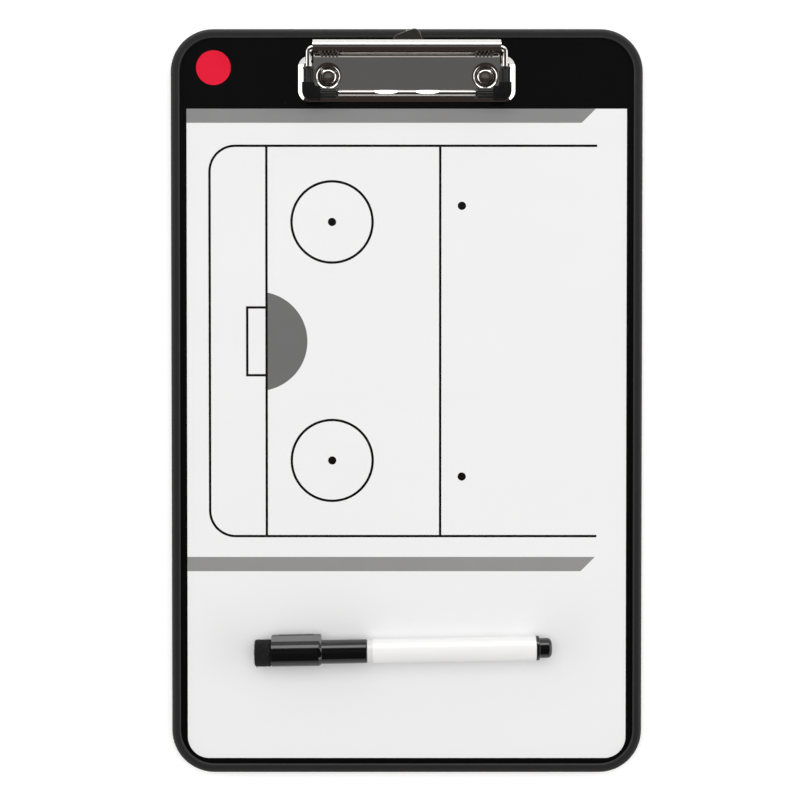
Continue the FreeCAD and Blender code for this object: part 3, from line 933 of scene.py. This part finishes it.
class TACTICS_OT_rivets(bpy.types.Operator):
    """Makes the clip's rivets: a low dome that fills its seat, a shank and a rolled tail"""

    bl_idname = "tactics.rivets"
    bl_label = "Rivets"

    def execute(self, context):
        rivet = context.scene.tactics_rivet
        for name in ("left", "right"):
            node = "rivet_" + name
            low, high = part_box(node)
            middle = (low + high) / 2
            back = low.z + rivet.tail_height
            curl = rivet.tail_height / 2
            rings = [
                (rivet.bore, low.z + rivet.bore_depth),
                (rivet.bore, low.z + curl),
                (rivet.bore + curl, low.z),
                (rivet.tail - curl, low.z),
                (rivet.tail, low.z + curl),
                (rivet.tail, back),
                (rivet.shank, back),
                (rivet.shank, rivet.seat),
                (rivet.foot, rivet.seat),
            ]
            for step in range(DOME_STEPS):
                out = math.cos(step * math.pi / 2 / DOME_STEPS)
                rise = (1 - out ** DOME_FLATNESS) ** DOME_ROUNDNESS
                rings.append((rivet.head * out, rivet.seat + rivet.rim + rivet.dome * rise))
            piece = turned("rivet_dome_" + name, rings)
            piece.data.transform(Matrix.Translation((middle.x, middle.y, 0)))
            smoothed(piece, angle=40)
            piece.data.materials.append(NODES[node].data.materials[0])
            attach(piece, "board")
            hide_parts(node)
        return {"FINISHED"}


class TACTICS_OT_springs(bpy.types.Operator):
    """Makes the springs as welded copies of their coils, shaded smooth"""

    bl_idname = "tactics.springs"
    bl_label = "Springs"

    def execute(self, context):
        for name, side in SIDES:
            node = "torsion_spring_" + name
            coil = bpy.data.objects.new("spring_coil_" + name, NODES[node].data.copy())
            coil.data.name = coil.name
            context.collection.objects.link(coil)
            bpy.ops.object.select_all(action="DESELECT")
            with editing(coil):
                select_all()
                bpy.ops.mesh.remove_doubles(threshold=WELD)
            smoothed(coil, angle=65)
            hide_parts(node)
            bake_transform(coil)
        return {"FINISHED"}


def wire_hole(rubber, arm, bar):
    """Round bar from arm on Y, through the bail's bend at the origin, to bar on -X."""
    piece = circle(
        "wire_hole", rubber.bore, TURN_STEPS // 2,
        location=(0, arm, 0), rotation=(math.pi / 2, 0, 0))
    with editing(piece, "FACE"):
        select_all()
        extrude((0, rubber.bend - arm, 0))
        bpy.ops.mesh.spin(
            steps=BEND_STEPS, angle=math.pi / 2,
            center=(-rubber.bend, rubber.bend, 0), axis=(0, 0, 1))
        extrude((rubber.bend - bar, 0, 0))
        select_all()
        bpy.ops.mesh.remove_doubles(threshold=WELD)
    outward(piece)
    return piece


def elbow(rubber, arm, bar):
    """Rounded block on the bail's corner at the origin, out to arm on Y and to bar on -X."""
    half = rubber.elbow_half
    piece = block("elbow", (-half, -half, -half), (half, half, half))
    with editing(piece, "FACE") as mesh:
        pick(mesh, mesh.faces, lambda face: face.normal.y > FACING)
        extrude((0, arm - half, 0))
        pick(mesh, mesh.faces, lambda face: (
            face.normal.x < -FACING and face.calc_center_median().y < half))
        extrude((half - bar, 0, 0))
    outward(piece)
    near = half / 10
    for place, radius in ((half, rubber.elbow_corner), (-half, rubber.elbow_inside)):
        with editing(piece, "EDGE") as mesh:
            pick(mesh, mesh.edges, lambda edge: all(
                abs(end.co.x - place) + abs(end.co.y + place) < near for end in edge.verts))
            bpy.ops.mesh.bevel(offset=radius, segments=6)
    modified(
        piece, "BEVEL", width=rubber.elbow_edge, segments=4, limit_method="ANGLE",
        angle_limit=math.radians(40))
    return piece


def sleeve(rubber, start, end):
    """Ribbed sleeve with a band at its far end, along Z."""
    facets = RIB_FACETS * rubber.ribs
    step = math.tau / facets
    grip = fresh(
        "sleeve", bpy.ops.mesh.primitive_cylinder_add, vertices=facets,
        radius=rubber.sleeve_radius, depth=end - start, location=(0, 0, (start + end) / 2))
    apply_transform()
    shrink = 1 - rubber.rib_depth / rubber.sleeve_radius
    with editing(grip) as mesh:
        pick(mesh, mesh.verts, lambda v: (
            round(math.atan2(v.co.y, v.co.x) / step) % RIB_FACETS < RIB_FACETS / 2))
        bpy.ops.transform.resize(value=(shrink, shrink, 1), center_override=(0, 0, 0))
    modified(grip, "BEVEL", width=rubber.rib_edge, segments=2, limit_method="ANGLE")
    band = fresh(
        "band", bpy.ops.mesh.primitive_cylinder_add, vertices=facets, radius=rubber.collar_radius,
        depth=rubber.collar_length, location=(0, 0, end - rubber.collar_length / 2))
    apply_transform()
    modified(band, "BEVEL", width=2 * rubber.rib_edge, segments=3, limit_method="ANGLE")
    return [grip, band]


class TACTICS_OT_rubber(bpy.types.Operator):
    """Makes the ribbed rubber corners on the bail"""

    bl_idname = "tactics.rubber"
    bl_label = "Rubber corners"

    def execute(self, context):
        rubber = context.scene.tactics_rubber
        black = context.scene.tactics_finish.rubber
        smooth = moulded_rubber("smooth_rubber", black, roughness=0.4, specular=0.12)
        ribbed = moulded_rubber("ribbed_rubber", black, roughness=0.24, specular=0.5)
        half = rubber.elbow_half
        lap = rubber.rib_edge + rubber.elbow_edge
        arm_bare = rubber.arm_leg - rubber.arm_ribs
        bar_bare = rubber.bar_leg - rubber.bar_ribs
        legs = ((arm_bare, rubber.arm_leg, "X"), (bar_bare, rubber.bar_leg, "Y"))
        for name, side in SIDES:
            node = "bail_corner_" + name
            low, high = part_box(node)
            edge_x = high.x if side > 0 else low.x
            corner = Vector((edge_x - side * half, low.y + half, low.z + half))
            piece = elbow(rubber, arm_bare, bar_bare)
            piece.name = piece.data.name = "rubber_corner_" + name
            piece.data.materials.append(smooth)
            for bare, leg, axis in legs:
                for solid in sleeve(rubber, bare - lap, leg):
                    solid.data.transform(Matrix.Rotation(-math.pi / 2, 4, axis))
                    solid.data.materials.append(ribbed)
                    combined(piece, solid, "UNION", material_mode="TRANSFER")
            bore = wire_hole(rubber, rubber.arm_leg + PAST, rubber.bar_leg + PAST)
            combined(piece, bore, "DIFFERENCE")
            piece.data.transform(Matrix.Translation(corner) @ Matrix.Diagonal((side, 1, 1, 1)))
            outward(piece)
            smoothed(piece, angle=40)
            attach(piece, "bail")
            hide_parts(node)
        return {"FINISHED"}


class TACTICS_OT_marker(bpy.types.Operator):
    """Finishes the marker's pieces"""

    bl_idname = "tactics.marker"
    bl_label = "Marker"

    def execute(self, context):
        finish = context.scene.tactics_finish
        dress(moulded("pen_white", finish.pen_white, roughness=0.36), "marker_barrel")
        dress(moulded("pen_pale", finish.pen_pale, roughness=0.35), "marker_collar")
        black = moulded("pen_black", finish.pen_black, roughness=0.1)
        dress(black, "marker_cap", "marker_plug")
        dress(bonded_fibre("nib_fibre", finish.nib), "marker_nib")
        dress(bonded_fibre("ink_fibre", finish.ink), "ink_reservoir")
        dress(sintered_ferrite(), "cap_magnet")
        return {"FINISHED"}


def loose_fibre(felt):
    """A thin bent fibre that stands on the origin."""
    fibre = circle("loose_fibre", felt.fibre_radius, steps=3)
    top = Vector()
    with editing(fibre, "FACE"):
        select_all()
        for lean, rise, size in FIBRE_STEPS:
            step = Vector((lean, 0, rise)) * felt.fibre_length
            top += step
            extrude(step)
            bpy.ops.transform.resize(value=(size, size, size), center_override=top)
    outward(fibre)
    return fibre


class TACTICS_OT_felt(bpy.types.Operator):
    """Makes the eraser's felt pad, with a rubbed-up nap"""

    bl_idname = "tactics.felt"
    bl_label = "Felt pad"

    def execute(self, context):
        felt = context.scene.tactics_felt
        axis = Vector(next(
            joint["axis"] for joint in frame["joints"] if joint["name"] == "cap_pull"))
        side = axis.cross((0, 0, 1)).normalized()
        turn = Matrix((side, axis.cross(side), axis)).transposed()
        corners = {
            name: [turn.transposed() @ corner.co for corner in NODES[name].data.vertices]
            for name in ("eraser_felt", "marker_cap")
        }
        low, high = (
            [end(corner[i] for corner in corners["eraser_felt"]) for i in range(3)]
            for end in (min, max)
        )
        low[2] = max(corner.z for corner in corners["marker_cap"]) + felt.gap
        middle = turn @ ((Vector(low) + Vector(high)) / 2)

        pad = fresh(
            "felt_pad", bpy.ops.mesh.primitive_cylinder_add, vertices=TURN_STEPS,
            radius=(high[0] - low[0]) / 2, depth=high[2] - low[2])
        with editing(pad, "EDGE") as mesh:
            pick(mesh, mesh.edges, lambda edge: all(corner.co.z > 0 for corner in edge.verts))
            bpy.ops.mesh.bevel(offset=felt.edge, segments=5)
        modified(pad, "REMESH", mode="VOXEL", voxel_size=felt.fineness)
        lumps = bpy.data.textures.new("felt_lumps", "CLOUDS")
        lumps.noise_scale = felt.lump
        modified(pad, "DISPLACE", texture=lumps, strength=felt.nap, mid_level=1.0)

        draw = random.Random(FIBRE_SEED)
        fibre = loose_fibre(felt)
        fibres = []
        while len(fibres) < felt.fibres:
            root = draw.choice(pad.data.polygons)
            way = root.normal + Vector(draw.uniform(-FIBRE_SPREAD, FIBRE_SPREAD) for _ in range(3))
            spin = Matrix.Rotation(draw.uniform(0, math.tau), 4, "Z")
            if (turn @ root.normal).z < FIBRE_UP or root.normal.z < FIBRE_OUT:
                continue
            lean = way.to_track_quat("Z", "X").to_matrix().to_4x4()
            copy = fibre.copy()
            copy.data = fibre.data.copy()
            copy.data.transform(Matrix.Translation(root.center) @ lean @ spin)
            context.collection.objects.link(copy)
            fibres.append(copy)
        bpy.data.objects.remove(fibre)
        pad = joined("felt_pad", [pad] + fibres)
        pad.matrix_world = Matrix.Translation(middle) @ turn.to_4x4()
        apply_transform()
        bpy.ops.object.shade_smooth()
        pad.data.materials.append(pressed_felt(context.scene.tactics_finish.felt))
        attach(pad, "cap")
        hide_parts("eraser_felt")
        return {"FINISHED"}


def soft_box(name, azimuth, elevation, size, watts, mirrored=True, lighting=True):
    """A soft lamp that faces the board's middle from angles in degrees, azimuth 0 past the clip.

    Gloss shows it where it is mirrored, and paint takes its light where it is lighting."""
    turn, rise = math.radians(azimuth), math.radians(elevation)
    level = math.cos(rise)
    away = Vector((math.sin(turn) * level, math.cos(turn) * level, math.sin(rise)))
    light = bpy.data.lights.new(name, "AREA")
    light.shape = "RECTANGLE"
    light.size, light.size_y = size
    light.energy = watts
    lamp = bpy.data.objects.new(name, light)
    lamp.location = away * LAMP_DISTANCE
    lamp.rotation_euler = (-away).to_track_quat("-Z", "Y").to_euler()
    lamp.visible_camera = False
    lamp.visible_glossy = mirrored
    lamp.visible_diffuse = lighting
    bpy.context.scene.collection.objects.link(lamp)


class TACTICS_OT_stage(bpy.types.Operator):
    """Lays the floor and sets up the lamps, the surroundings and the camera"""

    bl_idname = "tactics.stage"
    bl_label = "Stage"

    def execute(self, context):
        scene = context.scene
        stage = scene.tactics_stage
        floor = fresh("floor", bpy.ops.mesh.primitive_plane_add, size=FLOOR_SIDE)
        graph = new_graph("floor_paint")
        paint = graph.node("ShaderNodeBsdfDiffuse", inputs={"Color": tone(stage.floor)})
        where = graph.node("ShaderNodeTexCoord", output="Object")
        away = graph.node(
            "ShaderNodeVectorMath", {"operation": "LENGTH"}, {0: where}, output="Value")
        far = graph.fade(away, GLOW_START, GLOW_END)
        glow = graph.node("ShaderNodeEmission", inputs={
            "Color": graph.mix(far, grey(GLOW), grey(1.0))})
        both = graph.node("ShaderNodeAddShader", inputs={0: paint, 1: glow})
        direct = graph.node("ShaderNodeLightPath", output="Is Camera Ray")
        mirrored = graph.node("ShaderNodeLightPath", output="Is Glossy Ray")
        seen = graph.node("ShaderNodeMixShader", inputs={0: direct + mirrored, 1: paint, 2: both})
        graph.node("ShaderNodeOutputMaterial", inputs={"Surface": seen})
        floor.data.materials.append(graph.owner)

        for name, azimuth, elevation, size, watts, options in (
            ("back_box", 0, 33, (3.2, 1.02), stage.back_lamp, {"lighting": False}),
            ("left_box", -100, 22, (3.6, 0.95), stage.left_lamp, {}),
            ("right_box", 100, 22, (3.6, 0.95), stage.right_lamp, {}),
            ("fill_box", 0, 75.5, (3.0, 3.0), stage.fill_lamp, {"mirrored": False}),
        ):
            soft_box(name, azimuth, elevation, size, watts, **options)

        # Surroundings by the Y and Z of a direction: light walls under a brown and grey ceiling
        graph = Graph(bpy.data.worlds.new("studio"))
        scene.world = graph.owner
        direction = graph.node("ShaderNodeTexCoord", output="Generated")
        along = graph.node("ShaderNodeSeparateXYZ", inputs={0: direction}, output="Y")
        up = graph.node("ShaderNodeSeparateXYZ", inputs={0: direction}, output="Z")
        walls = graph.mix(graph.fade(along, -0.7, 0.7), grey(0.8), grey(1.05))
        haze = graph.mix(graph.fade(up, 0.68, 0.8), (0.4, 0.38, 0.36, 1), (0.06, 0.046, 0.04, 1))
        slope = graph.mix(graph.fade(along, -0.2, 0.1), (0.046, 0.034, 0.03, 1), haze)
        overhead = graph.fade(up, 0.93, 0.965) * graph.fade(along, 0.07, 0.14)
        ceiling = graph.mix(overhead, slope, (0.136, 0.138, 0.14, 1))
        air = graph.mix(graph.fade(up, 0.34, 0.44), walls, ceiling)
        seen = graph.node("ShaderNodeLightPath", output="Is Camera Ray")
        sky = graph.node("ShaderNodeBackground", inputs={"Color": graph.mix(seen, air, grey(1.0))})
        graph.node("ShaderNodeOutputWorld", inputs={"Surface": sky})

        camera = bpy.data.objects.new("camera", bpy.data.cameras.new("camera"))
        camera.data.lens = camera.data.sensor_width * stage.camera_distance / stage.view_width
        aim = Vector((stage.view_x, stage.view_y, FACE_Z))
        back = Vector((0, math.sin(stage.camera_tilt), math.cos(stage.camera_tilt)))
        camera.location = aim + back * stage.camera_distance
        camera.rotation_euler = (-stage.camera_tilt, 0, 0)
        scene.collection.objects.link(camera)
        scene.camera = camera
        scene.view_settings.view_transform = "Standard"
        return {"FINISHED"}


OPERATORS = (
    TACTICS_OT_board,
    TACTICS_OT_trim,
    TACTICS_OT_border,
    TACTICS_OT_bars,
    TACTICS_OT_rink,
    TACTICS_OT_clip,
    TACTICS_OT_rivets,
    TACTICS_OT_springs,
    TACTICS_OT_rubber,
    TACTICS_OT_marker,
    TACTICS_OT_felt,
    TACTICS_OT_stage,
)


class TACTICS_PT_sidebar(bpy.types.Panel):
    """Lists the board's pieces and settings"""

    bl_label = "Tactics board"
    bl_idname = "TACTICS_PT_sidebar"
    bl_space_type = "VIEW_3D"
    bl_region_type = "UI"
    bl_category = "Tactics board"

    def draw(self, context):
        for operator in OPERATORS:
            self.layout.operator(operator.bl_idname)
        for group in (getattr(context.scene, name) for name in GROUPS):
            column = self.layout.column()
            for name in group.bl_rna.properties.keys():
                if name not in ("rna_type", "name"):
                    column.prop(group, name)


GROUPS = {
    "tactics_print": PrintSettings,
    "tactics_trim": TrimSettings,
    "tactics_rivet": RivetSettings,
    "tactics_spring": SpringSettings,
    "tactics_rubber": RubberSettings,
    "tactics_felt": FeltSettings,
    "tactics_finish": FinishSettings,
    "tactics_stage": StageSettings,
}


def register():
    for cls in (*GROUPS.values(), *OPERATORS, TACTICS_PT_sidebar):
        bpy.utils.register_class(cls)
    for name, group in GROUPS.items():
        setattr(bpy.types.Scene, name, PointerProperty(type=group))


def unregister():
    for name in GROUPS:
        delattr(bpy.types.Scene, name)
    for cls in (TACTICS_PT_sidebar, *reversed(OPERATORS), *GROUPS.values()):
        bpy.utils.unregister_class(cls)


def main():
    register()
    bpy.ops.tactics.board()
    bpy.ops.tactics.trim()
    bpy.ops.tactics.border()
    bpy.ops.tactics.bars()
    bpy.ops.tactics.rink()
    bpy.ops.tactics.clip()
    bpy.ops.tactics.rivets()
    bpy.ops.tactics.springs()
    bpy.ops.tactics.rubber()
    bpy.ops.tactics.marker()
    bpy.ops.tactics.felt()
    bpy.ops.tactics.stage()


if __name__ == "__main__":
    main()
